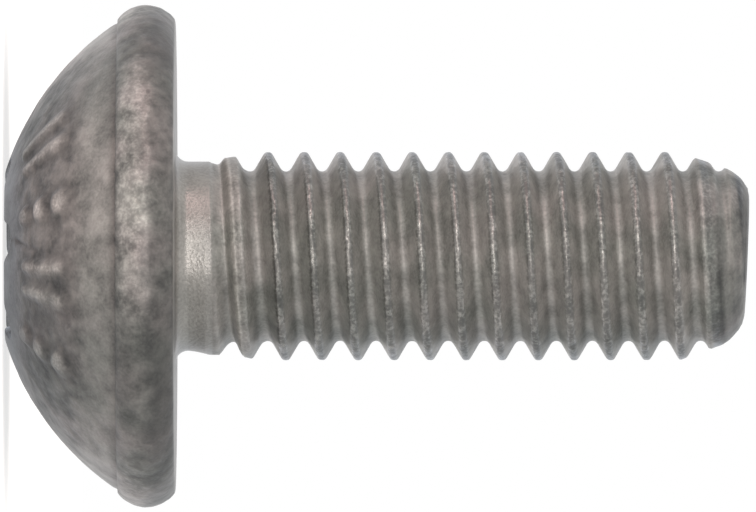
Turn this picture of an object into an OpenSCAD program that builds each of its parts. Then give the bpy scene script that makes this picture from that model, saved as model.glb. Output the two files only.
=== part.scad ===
// Flanged button head bolt, M6 x 16, with a six-lobe star recess.
// Lengths are in millimetres. The bolt stands on its head: +Z runs along the shank to the tip, and the
// origin is the centre of the bearing face under the head. It is one piece, forged and then thread rolled.

/* [Head] */
// Diameter over the rim of the head
head_d = 14; // [12:0.1:16]
// Height of the head, from the bearing face to its flat top
head_h = 4.73; // [4:0.01:6]
// Radius of the domed top
dome_r = 7.8; // [7.4:0.1:9]
// Height of the rim, up to where the dome starts
rim_h = 1.62; // [1.2:0.01:1.8]
// Radius of the rim's rounded outline
rim_round = 0.96; // [0.92:0.01:1.2]
// Width of the narrow step between rim and dome
rim_step = 0.06; // [0.02:0.01:0.2]

/* [Star recess] */
// Across the points of the star
star_points_d = 5.6; // [5.2:0.05:5.8]
// Across the hollows of the star
star_hollows_d = 4; // [3.7:0.05:4.2]
// Radius of each point
star_point_r = 0.46; // [0.4:0.01:0.52]
// Depth of the straight walls
star_depth = 2.7; // [2:0.1:3]
// Depth of the cone under the straight walls
star_cone_h = 0.5; // [0.2:0.1:0.8]
// Width of the bevel where the hollows meet the head's flat top
star_bevel = 0.1; // [0.04:0.01:0.2]
// Direction of one point, from +X towards +Y
star_angle = 19.4; // [0:0.1:60]

/* [Neck] */
// Diameter of the plain neck
neck_d = 5.25; // [5.1:0.01:5.4]
// Length of the plain neck
neck_l = 1; // [0.6:0.05:2]
// Radius of the fillet under the head
neck_fillet = 0.35; // [0.2:0.05:0.5]

/* [Thread] */
// Length under the head, to the middle of the end face
shank_l = 15.85; // [12:0.05:30]
// Outside diameter
thread_d = 5.82; // [5.7:0.01:6]
// Pitch diameter, where ridge and groove are equally wide
thread_pitch_d = 5.21; // [5.2:0.01:5.35]
// Diameter at the bottom of the groove
thread_root_d = 4.71; // [4.6:0.01:4.75]
// Pitch, the advance in one turn
thread_pitch = 1; // [0.9:0.01:1.1]
// Direction in which the groove leaves the neck, from +X towards +Y
thread_angle = 156.2; // [0:0.1:360]
// Length over which the groove grows to its full depth
groove_fade = 0.55; // [0.3:0.05:2]
// Length over which the ridge grows to its full height
ridge_fade = 1.5; // [0.3:0.05:2]

/* [Tip] */
// Length of the tapered stretch of thread
taper_l = 1.9; // [1:0.1:3]
// Angle of that taper, from the axis
taper_angle = 19; // [5:1:25]
// Radius of the end face
end_r = 1.88; // [1.2:0.01:2.1]
// Angle of the bevel round the end face, from the axis
end_bevel_angle = 49; // [40:1:60]
// Tilt of the sheared end face
end_tilt = 2.3; // [0:0.1:4]

/* [Hidden] */
$fn = 64;
steel = [0.55, 0.54, 0.52];
cut = 1; // how far a cutter runs past what it cuts
seat = 0.01; // how far one form is sunk into the next

head_r = head_d / 2;
neck_r = neck_d / 2;
rim_c = head_r - rim_round; // the rim's rounding is a circle, centred here at half the rim's height
rim_edge = rim_c + sqrt(rim_round ^ 2 - (rim_h / 2) ^ 2);
dome_c = sqrt(dome_r ^ 2 - (rim_edge - rim_step) ^ 2) - rim_h;

// The star is six round points between six round hollows, which are discs centred at these distances
star_sector = 30; // angle from a point to the next hollow
disc_cross = 0.003; // neighbouring discs cross by this much, where the real ones only touch
point_c = star_points_d / 2 - star_point_r;
hollow_edge = star_hollows_d / 2;
hollow_r = disc_cross
    + (point_c ^ 2 + hollow_edge ^ 2 - 2 * point_c * hollow_edge * cos(star_sector) - star_point_r ^ 2)
    / (2 * (star_point_r + point_c * cos(star_sector) - hollow_edge));
hollow_c = hollow_edge + hollow_r;
meet_share = star_point_r / (star_point_r + hollow_r); // how far along from disc to disc they meet
meet_x = point_c + meet_share * (hollow_c * cos(star_sector) - point_c);
meet_y = meet_share * hollow_c * sin(star_sector);
star_core_r = norm([meet_x, meet_y]);

// Section of the thread from one groove to the next, as [share of the pitch, radius]
flank = 30; // between each flank and the plane across the axis
crest_r = thread_d / 2;
root_r = thread_root_d / 2;
root_round = root_r - thread_pitch_d / 2 + thread_pitch / 4 / tan(flank);
root_edge = root_round * cos(flank) / thread_pitch;
root_edge_r = root_r + root_round * (1 - sin(flank));
crest_edge = 1 / 4 + (crest_r - thread_pitch_d / 2) * tan(flank) / thread_pitch;
section = [
    [0, root_r],
    [root_edge, root_edge_r],
    [crest_edge, crest_r],
    [1 - crest_edge, crest_r],
    [1 - root_edge, root_edge_r]
];

// The threaded body is a mesh. Its rows of points climb with the helix, one row for each point of the
// section, from inside the head to beyond the end face, where the body is cut off.
sides = 32; // points in one turn
rows_per_turn = len(section);
core_r = neck_r - seat;
turns_below = ceil(neck_l / thread_pitch) + 1;
turns_above = ceil((shank_l - neck_l) / thread_pitch) + 2;
last_row = (turns_below + turns_above) * rows_per_turn;

function row_turns(row) = floor(row / rows_per_turn) - turns_below + section[row % rows_per_turn][0];
function row_r(row) = section[row % rows_per_turn][1];
function growth(full_r, z) = (z - neck_l) / (full_r > core_r ? ridge_fade : groove_fade);
function thread_r(full_r, z) = core_r + (full_r - core_r) * max(0, min(1, growth(full_r, z)));
function taper_r(z) = crest_r - max(0, z - shank_l + taper_l) * tan(taper_angle);
function bevel_r(z) = end_r + max(-cut / 2, shank_l - z) * tan(end_bevel_angle);
function thread_point(row, side) =
    let (
        angle = 360 * side / sides,
        z = neck_l + (row_turns(row) + (angle - thread_angle) / 360) * thread_pitch,
        r = min(thread_r(row_r(row), z), taper_r(min(z, shank_l)), bevel_r(z))
    )
    [r * cos(angle), r * sin(angle), z];

// Half section of the dome, the rim, the fillet under the head and the neck
module head_section() {
    intersection() {
        translate([0, dome_c]) circle(r = dome_r);
        translate([0, -head_h]) square([head_r, head_h - rim_h / 2]);
    }
    intersection() {
        translate([0, -rim_h]) square([head_r + cut, rim_h]);
        union() {
            translate([0, -rim_h]) square([rim_c, rim_h]);
            translate([rim_c, -rim_h / 2]) circle(r = rim_round);
        }
    }
    translate([0, -rim_h / 2]) square([neck_r, neck_l + rim_h / 2]);
    difference() {
        translate([0, -rim_h / 2]) square([neck_r + neck_fillet, neck_fillet + rim_h / 2]);
        translate([neck_r + neck_fillet, neck_fillet]) circle(r = neck_fillet);
    }
}

module star_outline() {
    difference() {
        circle(r = star_core_r);
        for (k = [0:5]) rotate(60 * k + star_sector) translate([hollow_c, 0]) circle(r = hollow_r);
    }
    for (k = [0:5]) rotate(60 * k) translate([point_c, 0]) circle(r = star_point_r);
}

// The hole for the driver, with the cone that the punch leaves at its foot and a bevel at its mouth
module star_recess() {
    rotate(star_angle) translate([0, 0, -head_h - cut]) linear_extrude(star_depth + cut) star_outline();
    translate([0, 0, -head_h + star_depth - seat])
        cylinder(r1 = hollow_edge, r2 = 0, h = star_cone_h + seat);
    translate([0, 0, -head_h - seat])
        cylinder(r1 = hollow_edge + star_bevel + seat, r2 = 0, h = hollow_edge + star_bevel + seat);
}

module threaded_body() {
    // A row's last point is followed by the first point of the row one turn on
    function at(row, side) = side < sides ? row * sides + side : at(row + rows_per_turn, side - sides);
    function fan(hub, rim) = [for (i = [0:len(rim) - 1]) [hub, rim[i], rim[(i + 1) % len(rim)]]];
    points = [for (row = [0:last_row], side = [0:sides - 1]) thread_point(row, side)];
    hubs = [[0, 0, points[0][2]], [0, 0, points[len(points) - 1][2]]];
    walls = [
        for (row = [0:last_row - 1], side = [0:sides - 1])
            if (side < sides - 1 || row + 1 + rows_per_turn <= last_row)
                each [
                    [at(row, side), at(row + 1, side), at(row, side + 1)],
                    [at(row + 1, side), at(row + 1, side + 1), at(row, side + 1)]
                ]
    ];
    low_rim = concat(
        [for (side = [0:sides - 1]) at(0, side)],
        [for (row = [rows_per_turn:-1:1]) at(row, 0)]
    );
    high_rim = concat(
        [for (side = [sides - 1:-1:0]) at(last_row, side)],
        [for (row = [last_row - rows_per_turn:last_row - 1]) at(row, sides - 1)]
    );
    polyhedron(
        concat(points, hubs),
        concat(walls, fan(len(points), low_rim), fan(len(points) + 1, high_rim))
    );
}

module shank() {
    intersection() {
        threaded_body();
        translate([0, 0, shank_l]) rotate([0, end_tilt, 0]) translate([-head_r, -head_r, -2 * shank_l])
            cube([head_d, head_d, 2 * shank_l]);
    }
}

module bolt() {
    color(steel) {
        difference() {
            rotate_extrude() head_section();
            star_recess();
        }
        shank();
    }
}

bolt();
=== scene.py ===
"""Looks of the star drive bolt: one closed mesh of the bolt, its steel finish, the floor, lamps and camera.

Sizes are in millimetres until a mesh is made. +Z runs along the shank, and z = 0 is the bearing face.
"""

import math
from types import SimpleNamespace

import bpy
import numpy as np
from mathutils import Matrix, Vector, noise


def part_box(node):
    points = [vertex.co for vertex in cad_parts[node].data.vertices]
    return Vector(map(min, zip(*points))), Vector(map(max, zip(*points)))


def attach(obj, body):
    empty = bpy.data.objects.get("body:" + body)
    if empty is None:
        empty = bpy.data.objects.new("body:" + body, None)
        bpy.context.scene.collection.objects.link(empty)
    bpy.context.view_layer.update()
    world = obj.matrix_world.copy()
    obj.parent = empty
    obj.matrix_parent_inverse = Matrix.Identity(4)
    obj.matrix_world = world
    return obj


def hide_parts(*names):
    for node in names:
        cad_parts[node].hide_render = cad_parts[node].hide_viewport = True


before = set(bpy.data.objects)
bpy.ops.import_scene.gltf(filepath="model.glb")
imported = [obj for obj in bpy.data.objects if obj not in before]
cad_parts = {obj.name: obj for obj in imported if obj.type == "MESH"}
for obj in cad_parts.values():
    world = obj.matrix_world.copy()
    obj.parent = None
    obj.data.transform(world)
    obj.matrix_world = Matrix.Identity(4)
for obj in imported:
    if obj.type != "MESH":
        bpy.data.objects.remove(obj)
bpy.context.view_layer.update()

MM = 0.001  # metres in a millimetre
low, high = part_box("bolt")

# Head, from the frame's box where it gives the size
SIDE_GAP = 0.012  # how far the rim stays inside the box
TOP_GAP = 0.005  # how far the flat top stays inside the box
HEAD_R = (high.x - low.x) / 2 / MM - SIDE_GAP
HEAD_H = -low.z / MM - TOP_GAP
DOME_R = 7.8  # of the sphere that the dome is a part of
RIM_H = 1.62
RIM_ROUND = 0.96
RIM_STEP = 0.06  # how far the rim stands out from the dome
RIM_C = HEAD_R - RIM_ROUND  # how far out the centre of the rim's rounding lies
RIM_EDGE = RIM_C + math.sqrt(RIM_ROUND**2 - (RIM_H / 2) ** 2)  # where the rounding starts and ends
DOME_EDGE = RIM_EDGE - RIM_STEP
DOME_C = math.sqrt(DOME_R**2 - DOME_EDGE**2) - RIM_H  # height of the sphere's centre
FLAT_SOFT = 0.03  # how softly the dome runs into the flat top
CREASE = 0.05  # depth of the line where the dome meets the rim
PLAIN_R = 3.2  # a plain ring of the dome between the recess and the raised marks
MARKED_R = 5.6  # the dome is plain again outside this radius

# Star recess
STAR_POINTS_R = 2.8
STAR_HOLLOWS_R = 2.0
STAR_POINT_R = 0.46
STAR_DEPTH = 2.7
STAR_CONE_H = 0.5
STAR_LEDGE = 0.1  # flat floor between the cone and the hollows
STAR_CORNER = 0.08  # rounding between the floor and the walls
STAR_ANGLE = math.radians(19.4)  # direction of one of the points
STAR_MOUTH = 0.1  # width of the worn edge round the mouth
STEPS_IN_SECTOR = 13  # columns of the mesh between a point of the star and the next hollow

# Raised marks on the dome
MARKS = 14  # places in the ring, six of which are empty
MARKS_TOGETHER = 4  # marks side by side in each half of the ring
MARKS_R = 4.5
MARKS_ANGLE = math.radians(253.3)  # of the place with number 0
MARK_H = 0.12
MARK_SOFT = (-0.11, 0.13)  # how far in from a mark's outline it is at full height, and how far out it ends
STUD_R = 0.26
STUD_LONG = 0.04  # how far a stud is drawn out to each side
STUD_GAP = 0.68
BAR_HALF_W = 0.2
BAR_OFFSET = 0.38  # of each bar from the middle of its mark
BAR_IN, BAR_OUT = -0.6, 0.7  # where the bars start and end, from MARKS_R

# Short forging fold that runs out from one point of the star
FOLD_START = (-0.5, -2.75)
FOLD_END = (-0.15, -4.3)
FOLD_W = 0.14
FOLD_DEPTH = 0.08

# Neck and thread
NECK_R = 2.625
FILLET = 0.35
PITCH = 1.0
CREST_R = 2.91
PITCH_R = 2.605
ROOT_R = 2.36
FLANK = math.radians(30)
CREST_SOFT = 0.1  # how softly the flanks run into the flat crest
GROOVE_ANGLE = math.radians(156.2)  # where the groove leaves the neck
THREAD_FROM = 1.0
LOW_RIDGE_H = 0.13  # of the first ridge, a low swelling of the neck
RIDGE_RISE = 0.165  # how much higher the full ridges are
FIRST_RIDGE_Z = 1.75  # middle of the first full ridge
FIRST_SHIFT = 0.055  # this ridge lies so many pitches nearer to the head than the helix has it
GROWN_Z = 4  # from here the ridges have their full height

# Tip
END_Z = 15.845  # middle of the end face
END_R = 1.88
TAPER_L = 1.9  # the crests come down over this length
TAPER = math.tan(math.radians(19))
BEVEL = math.tan(math.radians(49))
END_TILT = math.tan(math.radians(2.3))  # the end face was sheared off a little askew
END_TURNS = 2.1  # turns of the mesh's rows on the end face

# Depths of the dents of use
NICK_DEPTH = 0.05  # in the crests of the thread
THREAD_DENTS = 0.006
RAGGED_DENTS = 0.008  # more than the other ridges, on the last one
RIM_DENTS = 0.012
DOME_DENTS = 0.012
END_ROLL = 0.05  # how far the edge of the end face is rolled in

# Floor, camera and lamps, in metres
FLOOR_R = 0.15
FLOOR_GAP = 0.000005  # below the head, so that the two faces don't flicker
CAMERA_DISTANCE = 0.58
CAMERA_WIDTH = 0.02097  # what the picture shows at the bolt, from left to right
CAMERA_CENTRE = (-0.000004, 0.005617)  # x and z of the picture's middle
SENSOR = 36  # millimetres
LAMP_TARGET = (0, 0, 0.006)


def soft_min(a, b, width):
    """The lower of two values, with the corner between them rounded over about width."""
    h = np.clip(0.5 + 0.5 * (b - a) / width, 0, 1)
    return b + (a - b) * h - width * h * (1 - h)


def smooth(x, start, end):
    """0 before start and 1 after end, with a smooth run between."""
    t = np.clip((x - start) / (end - start), 0, 1)
    return t * t * (3 - 2 * t)


def bell(x, middle, width):
    """1 at the middle, down to nothing at this width either side."""
    return smooth(width - np.abs(x - middle), 0, width)


def noise_at(points, size, seed):
    """Smooth noise, about -1 to 1, at each point, with features of about this size in millimetres."""
    shift = Vector((seed * 7.31, seed * 3.77, seed * 5.19))
    return np.array([noise.noise(Vector(p) / size + shift) for p in points])


# ---- The mesh: rings of points round the axis, from the floor of the recess to the end face ----


def star_columns():
    """The angle of each column of the mesh and the star's radius there, one turn from a point of the star.

    A sector is the arc of a point, then the arc of the next hollow, which touch where their circles meet.
    """
    point_c = STAR_POINTS_R - STAR_POINT_R
    cos30 = math.cos(math.radians(30))
    sin30 = math.sin(math.radians(30))
    across = point_c**2 + STAR_HOLLOWS_R**2 - 2 * point_c * STAR_HOLLOWS_R * cos30 - STAR_POINT_R**2
    hollow_r = across / (2 * (STAR_POINT_R + point_c * cos30 - STAR_HOLLOWS_R))
    hollow_c = STAR_HOLLOWS_R + hollow_r
    turn = math.atan2(hollow_c * sin30, hollow_c * cos30 - point_c)
    hollow_turn = turn - math.radians(30)
    point_l = STAR_POINT_R * turn
    total = point_l + hollow_r * hollow_turn
    half = []
    for i in range(STEPS_IN_SECTOR + 1):
        s = total * i / STEPS_IN_SECTOR
        if s <= point_l:
            a = s / STAR_POINT_R
            x = point_c + STAR_POINT_R * math.cos(a)
            y = STAR_POINT_R * math.sin(a)
        else:
            a = math.radians(210) + (total - s) / hollow_r
            x = hollow_c * cos30 + hollow_r * math.cos(a)
            y = hollow_c * sin30 + hollow_r * math.sin(a)
        half.append((math.atan2(y, x), math.hypot(x, y)))
    sector = half + [(math.radians(60) - a, r) for a, r in reversed(half[1:-1])]
    columns = [(STAR_ANGLE + math.radians(60) * k + a, r) for k in range(6) for a, r in sector]
    return np.array(columns).T


def halved(at):
    """The same angles with one more in the middle of each gap."""
    after = np.append(at[1:], at[0] + 2 * math.pi)
    return np.stack([at, (at + after) / 2], 1).ravel()


angles, star_r = star_columns()
COLUMNS = len(angles)
fine_angles = halved(angles)


class Skin:
    """Points and faces of the bolt's one closed mesh."""

    def __init__(self):
        self.points = []
        self.faces = []

    def ring(self, at, r, z):
        """Adds one ring of points at these angles, and returns their numbers."""
        r, z = (np.broadcast_to(v, at.shape) for v in (r, z))
        first = len(self.points)
        self.points += zip(r * np.cos(at), r * np.sin(at), z)
        return list(range(first, first + len(at)))

    def hub(self, z):
        """Adds a point on the axis, and returns its number."""
        self.points.append((0.0, 0.0, z))
        return len(self.points) - 1

    def fan(self, hub, rim):
        """Joins a closed ring to a point on the axis."""
        for a, b in zip(rim, rim[1:] + rim[:1]):
            self.faces.append((hub, a, b))

    def bridge(self, a, b):
        """Joins two closed rings. One may have twice the points of the other."""
        if len(a) == len(b):
            for i in range(len(a)):
                j = (i + 1) % len(a)
                self.faces.append((a[i], a[j], b[j], b[i]))
        elif len(b) == 2 * len(a):
            for i in range(len(a)):
                j = (i + 1) % len(a)
                between, after = b[2 * i + 1], b[(2 * i + 2) % len(b)]
                self.faces += [(a[i], between, b[2 * i]), (a[i], a[j], between), (a[j], after, between)]
        else:
            for i in range(len(b)):
                j = (i + 1) % len(b)
                between, after = a[2 * i + 1], a[(2 * i + 2) % len(a)]
                self.faces += [(b[i], a[2 * i], between), (b[i], between, b[j]), (b[j], between, after)]

    def zip_up(self, left, right):
        """Fills the strip between two lines of points that climb side by side, the lower point first."""
        i = j = 0
        while i + 1 < len(left) or j + 1 < len(right):
            left_z = self.points[left[i + 1]][2] if i + 1 < len(left) else math.inf
            right_z = self.points[right[j + 1]][2] if j + 1 < len(right) else math.inf
            if left_z < right_z:
                self.faces.append((left[i], right[j], left[i + 1]))
                i += 1
            else:
                self.faces.append((left[i], right[j], right[j + 1]))
                j += 1


def top_z(r):
    """Height of the head's top at this radius: the flat, then the dome."""
    dome = DOME_C - np.sqrt(np.maximum(DOME_R**2 - r**2, 0.01))
    return -soft_min(-dome, np.full_like(dome, HEAD_H), FLAT_SOFT)


def add_recess(skin):
    """The cone, floor, walls and worn mouth of the star, out to a plain ring on the dome."""
    floor_z = -HEAD_H + STAR_DEPTH
    cone_r = STAR_HOLLOWS_R - STAR_LEDGE
    innermost = 0.3
    rings = []
    for r in np.linspace(innermost, cone_r, 6):
        rings.append(skin.ring(angles, r, floor_z + STAR_CONE_H * (1 - r / cone_r)))
    skin.fan(skin.hub(floor_z + STAR_CONE_H), rings[0][::-1])
    for inward, down in ((1.0, 0.0), (0.3, 0.3)):
        rings.append(skin.ring(angles, star_r - STAR_CORNER * inward, floor_z - STAR_CORNER * down))
    foot = floor_z - STAR_CORNER
    for share in np.linspace(0, 1, 10):
        rings.append(skin.ring(angles, star_r, foot + (top_z(star_r) + STAR_MOUTH - foot) * share))
    for out, down in ((0.25, 0.45), (0.6, 0.12), (1.0, 0.0)):
        r = star_r + STAR_MOUTH * out
        rings.append(skin.ring(angles, r, top_z(r) + STAR_MOUTH * down))
    start = star_r + STAR_MOUTH
    for share in np.linspace(0, 1, 11)[1:]:
        r = start + (PLAIN_R - start) * share
        rings.append(skin.ring(angles, r, top_z(r)))
    for a, b in zip(rings, rings[1:]):
        skin.bridge(a, b)
    return rings[-1]


def stroke(x, y, start, end, half_width):
    """Distance outside a round-ended stroke drawn from start to end."""
    dx, dy = end[0] - start[0], end[1] - start[1]
    along = np.clip(((x - start[0]) * dx + (y - start[1]) * dy) / (dx * dx + dy * dy), 0, 1)
    return np.hypot(x - start[0] - along * dx, y - start[1] - along * dy) - half_width


def outside_marks(at, r):
    """Distance outside the dome's raised marks: four on each side, in turn two bars and three studs."""
    step = 2 * math.pi / MARKS
    turn = (at - MARKS_ANGLE + step / 2) % (2 * math.pi)
    number = np.floor(turn / step)
    x = (turn - (number + 0.5) * step) * MARKS_R
    y = r - MARKS_R
    studs = [stroke(x, y, (-STUD_LONG, out), (STUD_LONG, out), STUD_R) for out in (-STUD_GAP, 0, STUD_GAP)]
    bars = [stroke(x, y, (side, BAR_IN), (side, BAR_OUT), BAR_HALF_W) for side in (-BAR_OFFSET, BAR_OFFSET)]
    marks = np.where(number % 2 == 0, np.minimum.reduce(studs), np.minimum.reduce(bars))
    far = 1.0
    return np.where((number + 1) % (MARKS // 2) < MARKS_TOGETHER, marks, far)


def star_at(at):
    """Radius of the star in each direction."""
    return np.interp(at, angles, star_r, period=2 * math.pi)


def fold_share(at, r):
    """How deep a point lies in the forging fold, from 0 to 1. The fold grows shallower as it runs out."""
    outside = stroke(r * np.cos(at), r * np.sin(at), FOLD_START, FOLD_END, 0.0)
    return (1 - smooth(outside, 0.0, FOLD_W)) * (1 - 0.5 * smooth(r, 3.4, 4.4))


def add_head(skin, mouth_ring):
    """The dome with its marks, the rim, the bearing face and the fillet, up to the neck."""
    rings = [mouth_ring]
    # the dome, with more rings where the marks are
    marked = np.linspace(PLAIN_R, MARKED_R, 44)[1:]
    plain = np.linspace(MARKED_R, DOME_EDGE - 0.12, 12)[1:]
    for r in np.concatenate((marked, plain)):
        r = np.full_like(fine_angles, r)
        raised = MARK_H * (1 - smooth(outside_marks(fine_angles, r), *MARK_SOFT))
        sunk = FOLD_DEPTH * fold_share(fine_angles, r)
        rings.append(skin.ring(fine_angles, r, top_z(r) - raised + sunk))
    # the crease, and the rounded rim with softened edges
    for inward, down in ((0.06, 0.15), (0.03, 0.7), (0.0, 1.0)):
        r = np.full_like(fine_angles, DOME_EDGE - inward)
        rings.append(skin.ring(fine_angles, r, top_z(r) + CREASE * down))
    rings.append(skin.ring(fine_angles, RIM_EDGE - 0.025, -RIM_H + 0.035))
    half_turn = math.asin(RIM_H / 2 / RIM_ROUND)
    for a in np.linspace(-half_turn + 0.04, half_turn - 0.05, 26):
        z = -RIM_H / 2 + RIM_ROUND * math.sin(a)
        rings.append(skin.ring(fine_angles, RIM_C + RIM_ROUND * math.cos(a), z))
    rings.append(skin.ring(fine_angles, RIM_EDGE - 0.01, -0.01))
    # the bearing face, and the fillet up to the neck
    for r in np.linspace(RIM_EDGE - 0.06, NECK_R + FILLET + 0.25, 9):
        rings.append(skin.ring(fine_angles, r, 0))
    for a in np.linspace(0, math.pi / 2, 8):
        rings.append(skin.ring(angles, NECK_R + FILLET * (1 - math.sin(a)), FILLET * (1 - math.cos(a))))
    rings.append(skin.ring(angles, NECK_R, FILLET + 0.03))
    for a, b in zip(rings, rings[1:]):
        skin.bridge(a, b)
    return rings[-1]


def section_r(share):
    """Radius of the thread at this share of a pitch from the bottom of a groove.

    The root is an arc that runs into the two flanks, and the crest is flat.
    """
    away = np.minimum(share, 1 - share) * PITCH
    root_round = ROOT_R - PITCH_R + PITCH / 4 / math.tan(FLANK)
    root_edge = root_round * math.cos(FLANK)
    arc = ROOT_R + root_round - np.sqrt(np.maximum(root_round**2 - np.minimum(away, root_edge) ** 2, 0))
    line = PITCH_R + (away - PITCH / 4) / math.tan(FLANK)
    return soft_min(np.where(away < root_edge, arc, line), np.full_like(away, CREST_R), CREST_SOFT)


def shares():
    """Where the rows of the mesh lie in one pitch, closer together at the corners of the crest."""
    half = [0, 0.055, 0.11, 0.165, 0.23, 0.3, 0.36, 0.4, 0.43, 0.46, 0.49]
    return np.array(half + [1 - v for v in reversed(half[1:])])


row_shares = shares()
PER_TURN = len(row_shares)  # rows of the mesh in one turn


def thread_rows():
    """The rows of points that climb with the helix.

    For each point: its height on the helix, and its share of a pitch from the bottom of a groove.
    """
    turn = (angles - angles[0]) / (2 * math.pi)
    phase = (angles[0] - GROOVE_ANGLE) / (2 * math.pi)
    climbs, climb_shares = [], []
    row = 0
    while True:
        share = row_shares[row % PER_TURN]
        climb = THREAD_FROM + (row // PER_TURN - 1 + share + phase + turn) * PITCH
        row += 1
        if climb[0] < THREAD_FROM - 1.1 * PITCH:
            continue
        if climb[-1] > END_Z + (END_TURNS + 0.3) * PITCH:
            break
        climbs.append(climb)
        climb_shares.append(np.full_like(climb, share))
    return np.array(climbs), np.array(climb_shares)


def grown_r(climbs, share, z):
    """Radius of the thread as it grows out of the neck."""
    ridge_z = climbs + (0.5 - share) * PITCH  # where the crest of this ridge is
    early = bell(ridge_z, FIRST_RIDGE_Z, 0.85)
    shift = FIRST_SHIFT * smooth(share, 0.1, 0.26) * early * (1 - smooth(share, 0.75, 0.95))
    above_neck = section_r(share + shift) - NECK_R
    # the first ridge is a low swelling, and the next ones have flat tops that come up to full height
    cap = LOW_RIDGE_H * smooth(ridge_z, 0.75, 1.15) + RIDGE_RISE * smooth(ridge_z, 1.4, 2.6)
    cap *= 1 - 0.28 * early * (1 - smooth(share, 0.28, 0.56))
    # nothing stands out from the plain part of the neck
    lead = LOW_RIDGE_H * smooth(z, 0.35, 1.12) + smooth(z, 1.12, 1.4)
    # no groove parts the low ridge from the neck
    born = (1 - smooth(ridge_z, 1.15, 1.5)) * (share < 0.5) * (ridge_z > 0.5)
    flank = np.maximum(above_neck, -0.3 + born * 0.7)
    ridge = np.clip(soft_min(flank, np.minimum(cap, lead), 0.03), 0, np.maximum(flank, 0))
    groove = above_neck * smooth(climbs, 0.75, 1.8)
    return NECK_R + np.where(flank > 0, ridge, groove)


def shank_points():
    """Radius and height of the points of each row.

    The last turns cross from the bevel onto the end face and spiral in. Each column has a point on the edge
    between the two.
    """
    climbs, share = thread_rows()
    columns = np.arange(COLUMNS)
    end_z = END_Z - END_R * END_TILT * np.cos(angles)
    edge = np.abs(climbs - end_z).argmin(0)
    climbs[edge, columns] = end_z
    z = np.where(climbs < THREAD_FROM, THREAD_FROM - (THREAD_FROM - climbs) * 0.5, climbs)
    taper = CREST_R - np.maximum(climbs - END_Z + TAPER_L, 0) * TAPER
    bevel = END_R + (end_z - climbs) * BEVEL
    r = soft_min(grown_r(climbs, share, z), soft_min(taper, bevel, 0.16), 0.05)
    on_end = np.clip((climbs - end_z) / (END_TURNS * PITCH * 1.25), 0, 0.97)
    r = np.where(on_end > 0, r[edge, columns] * (1 - on_end), r)
    z = np.where(on_end > 0, END_Z - r * END_TILT * np.cos(angles), z)
    return r, z


def add_neck(skin, neck_ring, rings, r, z):
    """The neck, up to the first turn, whose start and end are one turn of the helix apart."""
    neck_z = skin.points[neck_ring[0]][2]
    necks = [neck_ring]
    for up in (0.25, 0.5, 0.75):
        necks.append(skin.ring(angles, NECK_R + (r - NECK_R) * up**1.4, neck_z + (z - neck_z) * up))
    necks.append(rings[0])
    for column in range(COLUMNS - 1):
        skin.zip_up([ring[column] for ring in necks], [ring[column + 1] for ring in necks])
    first_turn = [ring[0] for ring in rings[1 : PER_TURN + 1]]
    skin.zip_up([ring[-1] for ring in necks], [ring[0] for ring in necks] + first_turn)


def add_shank(skin, neck_ring):
    """The neck, the thread, the bevel and the end face."""
    r, z = shank_points()
    rings = [skin.ring(angles, r[i], z[i]) for i in range(len(r))]

    def point_at(row, column):
        """A point of a row. After its last column a row goes on as the one a turn higher."""
        return rings[row][column] if column < COLUMNS else rings[row + PER_TURN][0]

    for row in range(len(rings) - 1):
        last_turn = row + 1 + PER_TURN >= len(rings)
        for column in range(COLUMNS - 1 if last_turn else COLUMNS):
            a, b = point_at(row, column), point_at(row, column + 1)
            c, d = point_at(row + 1, column + 1), point_at(row + 1, column)
            skin.faces += [(a, b, d), (b, c, d)]
    add_neck(skin, neck_ring, rings, r[0], z[0])
    # the step where the last turn ends on the end face, and the middle of that face
    skin.zip_up([ring[-1] for ring in rings[-PER_TURN - 1 :]], [rings[-1][0]])
    skin.fan(skin.hub(END_Z), rings[-1])


def share_at(p):
    """The share of a pitch from the bottom of a groove, at each point."""
    turn = (np.arctan2(p[:, 1], p[:, 0]) - GROOVE_ANGLE) / (2 * math.pi)
    return ((p[:, 2] - THREAD_FROM) / PITCH - turn) % 1


def ridge_at(p):
    """How far up a ridge of the thread each point is, from 0 in the groove to 1 on the crest."""
    r = np.hypot(p[:, 0], p[:, 1])
    z = p[:, 2]
    reached = (r - ROOT_R) / (CREST_R - ROOT_R)
    whole = (section_r(share_at(p)) - ROOT_R) / (CREST_R - ROOT_R)
    on_shank = smooth(z, THREAD_FROM - 0.05, THREAD_FROM + 0.05) * (r > END_R + 0.2)
    return np.clip(np.where(z < GROWN_Z, np.minimum(reached, whole), whole), 0, 1) * on_shank


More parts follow.
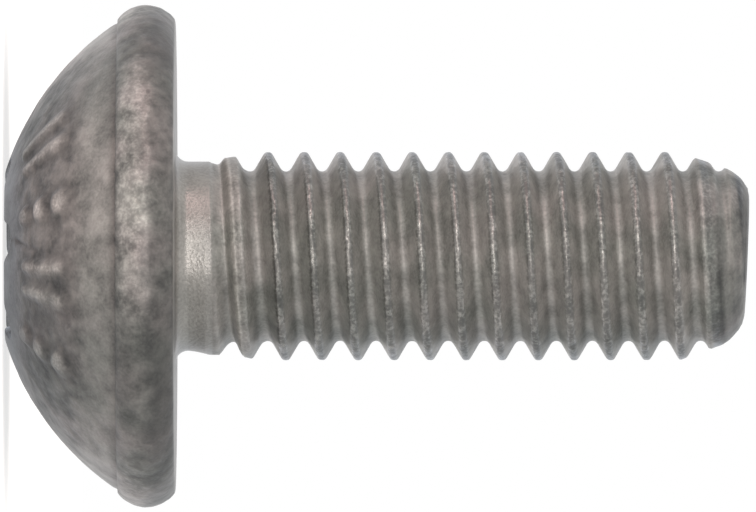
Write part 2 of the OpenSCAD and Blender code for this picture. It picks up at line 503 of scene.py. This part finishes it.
def wear(p, ridge):
    """The points with the small dents of use: nicked crests, a ragged last ridge, a faint unevenness."""
    r = np.hypot(p[:, 0], p[:, 1])
    z = p[:, 2]
    coarse = noise_at(p, 0.45, 1)
    fine = noise_at(p, 0.2, 2)
    # inward: nicks, the ragged last ridge, and faint dents in the thread and the rim
    thread = smooth(z, 1.2, 1.6) * (1 - smooth(z, END_Z - 0.3, END_Z - 0.15))
    crest = smooth(ridge, 0.7, 0.95) * thread
    last = smooth(z, END_Z - 1.7, END_Z - 1.4)
    ragged = last * smooth(ridge, 0.2, 0.6)
    rim = smooth(z, -RIM_H + 0.1, -RIM_H + 0.3) * (1 - smooth(z, -0.3, -0.1)) * (r > RIM_C)
    nicks = np.clip(coarse * 0.8 + fine * 0.4 - 0.12, 0, 0.4)
    inward = crest * nicks * NICK_DEPTH * (1 - 0.4 * last)
    inward += thread * (THREAD_DENTS + RAGGED_DENTS * ragged) * (coarse + (1 - 0.8 * last) * fine + 1.5)
    inward += rim * RIM_DENTS * (fine + coarse + 1.5)
    # along the axis: an uneven dome, and the rolled edge of the end face
    dome = (z < -RIM_H) * (r > PLAIN_R + 0.1) * (r < DOME_EDGE - 0.2)
    bumps = np.clip(DOME_DENTS * (noise_at(p, 0.6, 3) + 0.6 * fine), -0.01, 0.02)
    end_edge = np.exp(-(((r - END_R) / 0.14) ** 2)) * smooth(z, END_Z - 0.3, END_Z - 0.1)
    outward = p * np.array([1, 1, 0]) / np.maximum(r, 0.1)[:, None]
    worn = p - outward * inward[:, None]
    worn[:, 2] += dome * bumps - END_ROLL * end_edge
    return worn


# ---- Zones of the steel: each is a share from 0 to 1 at each point ----


def head_zones(p):
    """The head's parts, its marks, folds and creases, what has polished it, and where shade is painted on
    it.
    """
    r = np.hypot(p[:, 0], p[:, 1])
    z = p[:, 2]
    at = np.arctan2(p[:, 1], p[:, 0])
    zone = SimpleNamespace()
    zone.head = 1 - smooth(z, -0.02, 0.06)
    zone.top = (1 - smooth(z, -RIM_H - 0.03, -RIM_H + 0.03)) * zone.head
    zone.rim = zone.head - zone.top
    # the cleaner part of the dome next to the rim, the bluish ring round the recess, a painted reflection,
    # the part of the rim next to the bearing face, painted darker as shade, and the bearing face itself
    zone.band = smooth(r, 5.3, 6.0) * zone.top
    zone.middle = (1 - smooth(r + 0.3 * noise_at(p, 0.9, 5), 3.05, 3.95)) * zone.top
    zone.side = smooth(z + 0.25 * noise_at(p, 0.5, 6), -1.0, -0.42) * zone.head
    zone.under = smooth(z, -0.03, -0.005) * zone.head
    outside = outside_marks(at, r)
    dome = zone.top * smooth(r, PLAIN_R, PLAIN_R + 0.2)
    # the marks are painted lighter, partly as wear and partly as a painted highlight
    zone.mark = (1 - smooth(outside, -0.22, 0.04)) * dome
    zone.mark_foot = bell(outside, 0.12, 0.2) * dome
    zone.fold = fold_share(at, r) * zone.top
    zone.crease = bell(r, DOME_EDGE, 0.32) * bell(z, -RIM_H + 0.03, 0.32)
    in_star = 1 - smooth(r, STAR_POINTS_R + 0.1, PLAIN_R - 0.2)
    zone.recess = in_star * (1 - smooth(z, 0, 0.1)) * smooth(z, -HEAD_H + 0.35, -HEAD_H + 0.9)
    # polished by the driver
    zone.mouth = (r < star_at(at) + 0.04) * (1 - smooth(z, -HEAD_H + 0.25, -HEAD_H + 0.45))
    # painted shade: the head is painted darker on its sides, a broad patch and a narrow one, with uneven
    # edges
    turn = np.degrees(np.arctan2(p[:, 0], -p[:, 1])) + 9 * noise_at(p, 1.5, 4)
    stain = smooth(turn, -2, 24) * (1 - 0.55 * smooth(turn, 45, 65)) * (1 - smooth(turn, 80, 130))
    zone.stain = np.maximum(stain, bell(turn, -60, 27)) * zone.head * (1 - zone.middle)
    return zone


def add_shank_zones(zone, p, ridge):
    """The neck, the parts of the thread, and the tip."""
    z = p[:, 2]
    share = share_at(p)
    zone.neck = (1 - smooth(z, THREAD_FROM, THREAD_FROM + 0.06)) * (1 - zone.head)
    # painted shade: the neck is darker where it meets the head
    zone.neck_start = 1 - smooth(z, 0.15, 0.35)
    zone.neck_end = smooth(z, 0.6, 1.0)
    zone.shank = smooth(z, THREAD_FROM, THREAD_FROM + 0.06)
    zone.crest = smooth(ridge, 0.8, 0.98) * zone.shank
    zone.flank = bell(ridge, 0.5, 0.45) * zone.shank
    zone.root = bell(np.minimum(share, 1 - share), 0.0, 0.15)
    # painted light: these flanks, which face the head, are painted lighter, most of all the first
    zone.loaded = smooth(share, 0.03, 0.12) * (1 - smooth(share, 0.36, 0.43)) * zone.shank
    zone.loaded_most = 1 - smooth(z, 1.9, 2.4)
    zone.run_in = bell(z, 1.22, 0.2)  # where the groove leaves the neck
    zone.first = bell(z, FIRST_RIDGE_Z, 0.5) * smooth(ridge, 0.4, 0.6)
    zone.last = smooth(z, END_Z - 1.6, END_Z - 1.4) * smooth(ridge, 0.3, 0.5)
    zone.end = smooth(z, END_Z - 0.95, END_Z - 0.75)
    zone.tip = smooth(z, END_Z - 0.6, END_Z - 0.35)
    zone.bevel = bell(z, END_Z - 0.24, 0.22)


def tone_of(zone):
    """How light the steel is, as a share of white."""
    # the ring round the recess is painted lighter, as a reflection
    tone = 0.165 * zone.top + 0.12 * zone.band + 0.075 * zone.middle
    # painted shade: the rim darker next to the bearing face; painted highlight, with wear: the marks
    # lighter
    tone += (0.252 - 0.12 * zone.side) * zone.rim + 0.1 * zone.under + 0.22 * zone.mark
    # the neck is painted darker next to the head, as shade
    tone += (0.33 - 0.05 * zone.neck_start - 0.05 * zone.neck_end) * zone.neck
    dark = np.maximum.reduce([0.11 * zone.crest, 0.085 * zone.last, 0.155 * zone.tip])
    dark += (0.07 + 0.04 * zone.flank) * zone.end * (1 - zone.tip) + 0.07 * zone.bevel
    # the roots' lighter tone is a painted highlight
    light = 0.05 * zone.run_in + 0.05 * zone.first + 0.04 * zone.root
    # painted light on the flanks that face the head
    light += 0.085 * zone.loaded * (1 + zone.loaded_most)
    tone += (0.255 + light - dark) * zone.shank
    tone += (0.3 - tone) * zone.mouth
    # painted shade darkens the head's sides, the rim most
    return tone * (1 - (0.29 + 0.17 * zone.rim) * zone.stain)


def metal_of(zone):
    """How much of the steel is bare metal, and not a dull skin."""
    bare = 0.5 - 0.12 * zone.flank - 0.05 * zone.loaded + 0.12 * zone.crest - 0.2 * zone.tip
    metal = 0.35 * zone.head + 0.31 * zone.neck + bare * zone.shank + 0.2 * zone.mark
    return metal + (0.8 - metal) * zone.mouth


def rough_of(zone):
    """How dull the steel is, from 0 for a mirror to 1."""
    rough = 0.48 * zone.top + 0.54 * zone.rim + 0.32 * zone.neck
    rough += (0.53 - 0.14 * zone.crest + 0.02 * zone.tip + 0.05 * zone.root) * zone.shank
    return rough + (0.25 - rough) * zone.mouth


def dirt_and_shade_of(zone):
    """How dark the steel is: painted shade and dirt in the crease and round the marks, painted shade in the
    fold, and darker in the recess.
    """
    crease = zone.crease * (0.8 - 0.5 * zone.stain)
    return np.clip(crease + 0.4 * zone.recess + 0.4 * zone.mark_foot + 0.8 * zone.fold, 0, 1)


def worn_of(zone):
    """How brightly the steel is speckled with wear, and with painted glints on the lit part of the rim."""
    # the rim's specks are painted glints, left off its painted-shade parts
    worn = 0.4 * zone.mark + 0.3 * zone.rim * (1 - zone.side) * (1 - zone.stain)
    return worn + zone.crest * (1 - zone.tip) * (1 - 0.75 * zone.last) + 0.2 * zone.last + 0.2 * zone.first


def mottle_of(zone):
    """How strong the mottling and the dents are."""
    mottle = (1.4 * zone.top - 0.7 * zone.band - 0.9 * zone.middle) * (1 - 0.6 * zone.mark)
    mottle += (1.35 - 0.3 * zone.side - 0.3 * zone.stain) * zone.rim - 0.6 * zone.under
    return mottle + 0.1 * zone.neck + (0.5 + 0.2 * zone.tip + 0.35 * zone.last) * zone.shank


def steel_values(p, ridge):
    """What the steel's material reads at each point."""
    zone = head_zones(p)
    add_shank_zones(zone, p, ridge)
    return {
        "tone": tone_of(zone),
        "metal": metal_of(zone),
        "rough": rough_of(zone),
        "dirt_and_shade": dirt_and_shade_of(zone),
        "worn": worn_of(zone),
        "mottle": mottle_of(zone),
        # painted reflection: a blue tint on the ring round the recess
        "painted_reflection_blue": 0.8 * zone.middle,
        "warm": zone.head * (1 - 0.7 * zone.stain) * (1 - 0.5 * zone.band) * (1 - 0.7 * zone.rim),
    }


def make_bolt():
    """The bolt's mesh, with what the steel's material reads as attributes of its points."""
    skin = Skin()
    neck_ring = add_head(skin, add_recess(skin))
    add_shank(skin, neck_ring)
    points = np.array(skin.points)
    ridge = ridge_at(points)
    mesh = bpy.data.meshes.new("steel_bolt")
    mesh.from_pydata([tuple(p) for p in wear(points, ridge) * MM], [], skin.faces)
    mesh.validate()
    for name, values in steel_values(points, ridge).items():
        mesh.attributes.new(name, "FLOAT", "POINT").data.foreach_set("value", values.astype(np.float32))
    mesh.polygons.foreach_set("use_smooth", [True] * len(mesh.polygons))
    bolt = bpy.data.objects.new("steel_bolt", mesh)
    bpy.context.collection.objects.link(bolt)
    return bolt


# ---- Materials ----

# Tints of the steel
GREENISH = (0.9, 1.005, 0.9, 1)
REDDISH = (1.07, 0.98, 0.955, 1)
BROWNISH = (1.06, 0.97, 0.91, 1)
REFLECTION_BLUE = (0.93, 0.98, 1.05, 1)
# dark brown for dirt and painted shade
DIRT_AND_SHADE = (0.36, 0.31, 0.28, 1)


class Nodes:
    """Short ways to add and join the nodes of one material or of the world."""

    def __init__(self, tree):
        self.tree = tree

    def add(self, kind, **settings):
        """Adds a node with these settings."""
        node = self.tree.nodes.new(kind)
        for name, value in settings.items():
            setattr(node, name, value)
        return node

    def feed(self, value, socket):
        """Links an output to a socket, or sets the socket to a plain value."""
        if isinstance(value, bpy.types.NodeSocket):
            self.tree.links.new(value, socket)
        else:
            socket.default_value = value

    def math(self, operation, a, b):
        node = self.add("ShaderNodeMath", operation=operation)
        self.feed(a, node.inputs[0])
        self.feed(b, node.inputs[1])
        return node.outputs[0]

    def times(self, a, b):
        return self.math("MULTIPLY", a, b)

    def plus(self, a, b):
        return self.math("ADD", a, b)

    def attribute(self, name):
        return self.add("ShaderNodeAttribute", attribute_name=name).outputs["Fac"]

    def place(self):
        """Where a point is on the object itself."""
        return self.add("ShaderNodeTexCoord").outputs["Object"]

    def noise(self, place, size, detail):
        """Noise from 0 to 1 with features of about this size in millimetres."""
        node = self.add("ShaderNodeTexNoise")
        self.feed(place, node.inputs["Vector"])
        node.inputs["Scale"].default_value = 1 / (size * MM)
        node.inputs["Detail"].default_value = detail
        return node.outputs["Fac"]

    def patchy(self, place, size, width):
        """Patches of about this size, from -1 to 1. The greater the width, the softer they are."""
        return self.spread(self.noise(place, size, 1), 0.5 - width, 0.5 + width, -1, 1)

    def spread(self, value, start, end, low, high):
        """Maps start..end to low..high, and stops at the ends."""
        node = self.add("ShaderNodeMapRange")
        self.feed(value, node.inputs["Value"])
        for name, number in (("From Min", start), ("From Max", end), ("To Min", low), ("To Max", high)):
            self.feed(number, node.inputs[name])
        return node.outputs[0]

    def mix(self, share, a, b, blend="MIX"):
        """Colour a, with this share of colour b over it."""
        node = self.add("ShaderNodeMix", data_type="RGBA", blend_type=blend)
        self.feed(share, node.inputs[0])
        self.feed(a, node.inputs[6])
        self.feed(b, node.inputs[7])
        return node.outputs[2]


def steel_fields(n):
    """Unevenness of several sizes, and the bright specks of wear and painted glints."""
    place = n.place()
    field = SimpleNamespace()
    field.patches = n.patchy(place, size=1.4, width=0.15)
    field.blotches = n.patchy(place, size=0.7, width=0.16)
    field.spots = n.patchy(place, size=0.25, width=0.18)
    field.grain = n.patchy(place, size=0.08, width=0.2)
    field.pits = n.spread(n.noise(place, size=0.3, detail=0), 0.24, 0.16, 0, 0.6)
    specks = n.plus(n.times(field.spots, 0.5), n.times(field.grain, 0.8))
    field.bright = n.times(n.attribute("worn"), n.spread(specks, -0.2, 1.0, 0.0, 1.0))
    return field


def steel_colour(n, field, mottle):
    """The steel's tone, made uneven, then tinted by zone and darkened by dirt and painted shade."""
    change = n.times(n.plus(n.times(field.blotches, 0.29), n.times(field.spots, 0.19)), mottle)
    change = n.plus(n.plus(change, n.times(field.patches, 0.08)), n.times(field.grain, 0.13))
    tone = n.times(n.attribute("tone"), n.plus(change, 1.0))
    tone = n.times(tone, n.plus(n.times(field.bright, 0.7), 0.9))
    tone = n.times(tone, n.spread(n.times(field.pits, mottle), 0, 1, 1, 0.6))
    grey = n.add("ShaderNodeCombineColor")
    for channel in range(3):
        n.feed(tone, grey.inputs[channel])
    hue = n.spread(n.times(field.patches, mottle), -1.9, 1.9, 0, 1)
    tint = n.mix(hue, GREENISH, REDDISH)
    tint = n.mix(n.attribute("warm"), tint, BROWNISH)
    # painted reflection: the ring round the recess is tinted blue
    tint = n.mix(n.attribute("painted_reflection_blue"), tint, REFLECTION_BLUE)
    tint = n.mix(n.attribute("dirt_and_shade"), tint, DIRT_AND_SHADE)
    return n.mix(1.0, grey.outputs[0], tint, "MULTIPLY")


def bump(n, height, depth, strength=1.0, normal=None):
    """A bump whose full height is this deep in millimetres, on top of another one if given."""
    node = n.add("ShaderNodeBump")
    node.inputs["Distance"].default_value = depth * MM
    n.feed(strength, node.inputs["Strength"])
    n.feed(height, node.inputs["Height"])
    if normal:
        n.feed(normal, node.inputs["Normal"])
    return node.outputs[0]


def steel():
    """Dull, handled steel: softly mottled, worn and painted brighter on raised parts, and painted dark with
    shade and dirt in the creases.
    """
    mat = bpy.data.materials.new("steel")
    mat.use_nodes = True
    n = Nodes(mat.node_tree)
    field = steel_fields(n)
    mottle = n.attribute("mottle")
    rough = n.plus(n.attribute("rough"), n.times(field.blotches, -0.04))
    uneven = n.plus(field.blotches, n.times(field.spots, 0.35))
    dents = bump(n, uneven, depth=0.018, strength=mottle)
    shader = mat.node_tree.nodes["Principled BSDF"]
    n.feed(steel_colour(n, field, mottle), shader.inputs["Base Color"])
    n.feed(n.attribute("metal"), shader.inputs["Metallic"])
    n.feed(n.math("SUBTRACT", rough, n.times(field.bright, 0.15)), shader.inputs["Roughness"])
    n.feed(bump(n, field.grain, depth=0.002, normal=dents), shader.inputs["Normal"])
    shader.inputs["Specular Tint"].default_value = (0.76, 0.83, 0.95, 1)
    shader.inputs["Specular IOR Level"].default_value = 0.4
    # a thin dull film, which brightens the steel where it is seen at a low angle
    shader.inputs["Coat Weight"].default_value = 0.4
    shader.inputs["Coat Roughness"].default_value = 0.3
    return mat


bolt = make_bolt()
bolt.data.materials.append(steel())
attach(bolt, "root")
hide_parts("bolt")


# ---- Floor, world, camera and lamps ----


def seen_or_mirrored(n):
    """1 for the rays by which the camera, metal or glass sees a thing, 0 for those that light it."""
    path = n.add("ShaderNodeLightPath")
    seen = n.math("MAXIMUM", path.outputs["Is Camera Ray"], path.outputs["Is Glossy Ray"])
    return n.math("MAXIMUM", seen, path.outputs["Is Transmission Ray"])


def white_ground():
    """White that takes a soft shadow, and is clear from below so that the head's top can be seen."""
    mat = bpy.data.materials.new("floor")
    mat.use_nodes = True
    n = Nodes(mat.node_tree)
    mat.node_tree.nodes.clear()
    diffuse = n.add("ShaderNodeBsdfDiffuse")
    diffuse.inputs["Color"].default_value = (0.8, 0.8, 0.8, 1)
    glow = n.add("ShaderNodeEmission")
    n.feed(n.times(seen_or_mirrored(n), 0.68), glow.inputs["Strength"])
    both = n.add("ShaderNodeAddShader")
    n.feed(diffuse.outputs[0], both.inputs[0])
    n.feed(glow.outputs[0], both.inputs[1])
    clear = n.add("ShaderNodeBsdfTransparent")
    sides = n.add("ShaderNodeMixShader")
    n.feed(n.add("ShaderNodeNewGeometry").outputs["Backfacing"], sides.inputs[0])
    n.feed(both.outputs[0], sides.inputs[1])
    n.feed(clear.outputs[0], sides.inputs[2])
    n.feed(sides.outputs[0], n.add("ShaderNodeOutputMaterial").inputs["Surface"])
    return mat


def make_floor():
    """A round floor that the head stands on."""
    z = low.z - FLOOR_GAP
    turns = np.linspace(0, 2 * math.pi, 97)[:-1]
    mesh = bpy.data.meshes.new("floor")
    ring = [(FLOOR_R * math.cos(a), FLOOR_R * math.sin(a), z) for a in turns]
    mesh.from_pydata(ring, [], [tuple(range(len(ring)))])
    mesh.materials.append(white_ground())
    floor = bpy.data.objects.new("floor", mesh)
    bpy.context.collection.objects.link(floor)


def make_world():
    """White where it is seen or mirrored, and a weak, faintly green light elsewhere."""
    world = bpy.data.worlds.new("studio")
    bpy.context.scene.world = world
    world.use_nodes = True
    n = Nodes(world.node_tree)
    background = world.node_tree.nodes["Background"]
    n.feed(n.mix(seen_or_mirrored(n), (0.95, 1.0, 0.96, 1), (1, 1, 1, 1)), background.inputs["Color"])
    n.feed(n.spread(seen_or_mirrored(n), 0, 1, 0.15, 1.0), background.inputs["Strength"])


def make_camera():
    """Looks along +Y, turned a quarter so that the shank points right."""
    data = bpy.data.cameras.new("camera")
    data.sensor_width = SENSOR
    data.lens = SENSOR * CAMERA_DISTANCE / CAMERA_WIDTH
    data.clip_start = 0.01
    data.clip_end = 10
    camera = bpy.data.objects.new("camera", data)
    bpy.context.collection.objects.link(camera)
    place = Matrix(((0, -1, 0), (0, 0, -1), (1, 0, 0))).to_4x4()
    place.translation = Vector((CAMERA_CENTRE[0], -CAMERA_DISTANCE, CAMERA_CENTRE[1]))
    camera.matrix_world = place
    bpy.context.scene.camera = camera


def add_lamp(name, place, size, brightness, colour, mirrored=True):
    """A soft lamp that faces the bolt. Brightness is what a mirror would show of it, and 1 is white."""
    data = bpy.data.lights.new(name, "AREA")
    data.shape = "RECTANGLE"
    data.size, data.size_y = size
    data.energy = 4 * brightness * size[0] * size[1]  # Blender shows a lamp's power over 4 times its area
    data.color = colour
    lamp = bpy.data.objects.new(name, data)
    lamp.location = place
    lamp.rotation_euler = (Vector(LAMP_TARGET) - Vector(place)).to_track_quat("-Z", "Y").to_euler()
    lamp.visible_camera = False
    lamp.visible_glossy = mirrored
    bpy.context.collection.objects.link(lamp)


def at_angle(turn, distance, height):
    """A place round the shank, this many degrees from the front towards what the picture has at the top."""
    a = math.radians(turn)
    return (-distance * math.sin(a), -distance * math.cos(a), height)


make_floor()
make_world()
make_camera()
add_lamp(
    "front",
    at_angle(12, distance=0.5, height=0.035),
    size=(0.6, 0.08),
    brightness=6.0,
    colour=(1.0, 0.9, 0.855),
)
add_lamp(
    "above",
    at_angle(60, distance=0.5, height=0.035),
    size=(0.48, 0.08),
    brightness=2.6,
    colour=(1.0, 0.62, 0.6),
)
add_lamp(
    "top",
    at_angle(8, distance=0.3, height=0.5),
    size=(0.6, 0.6),
    brightness=2.0,
    colour=(1.0, 0.905, 0.87),
    mirrored=False,
)

bpy.context.scene.view_settings.view_transform = "Standard"
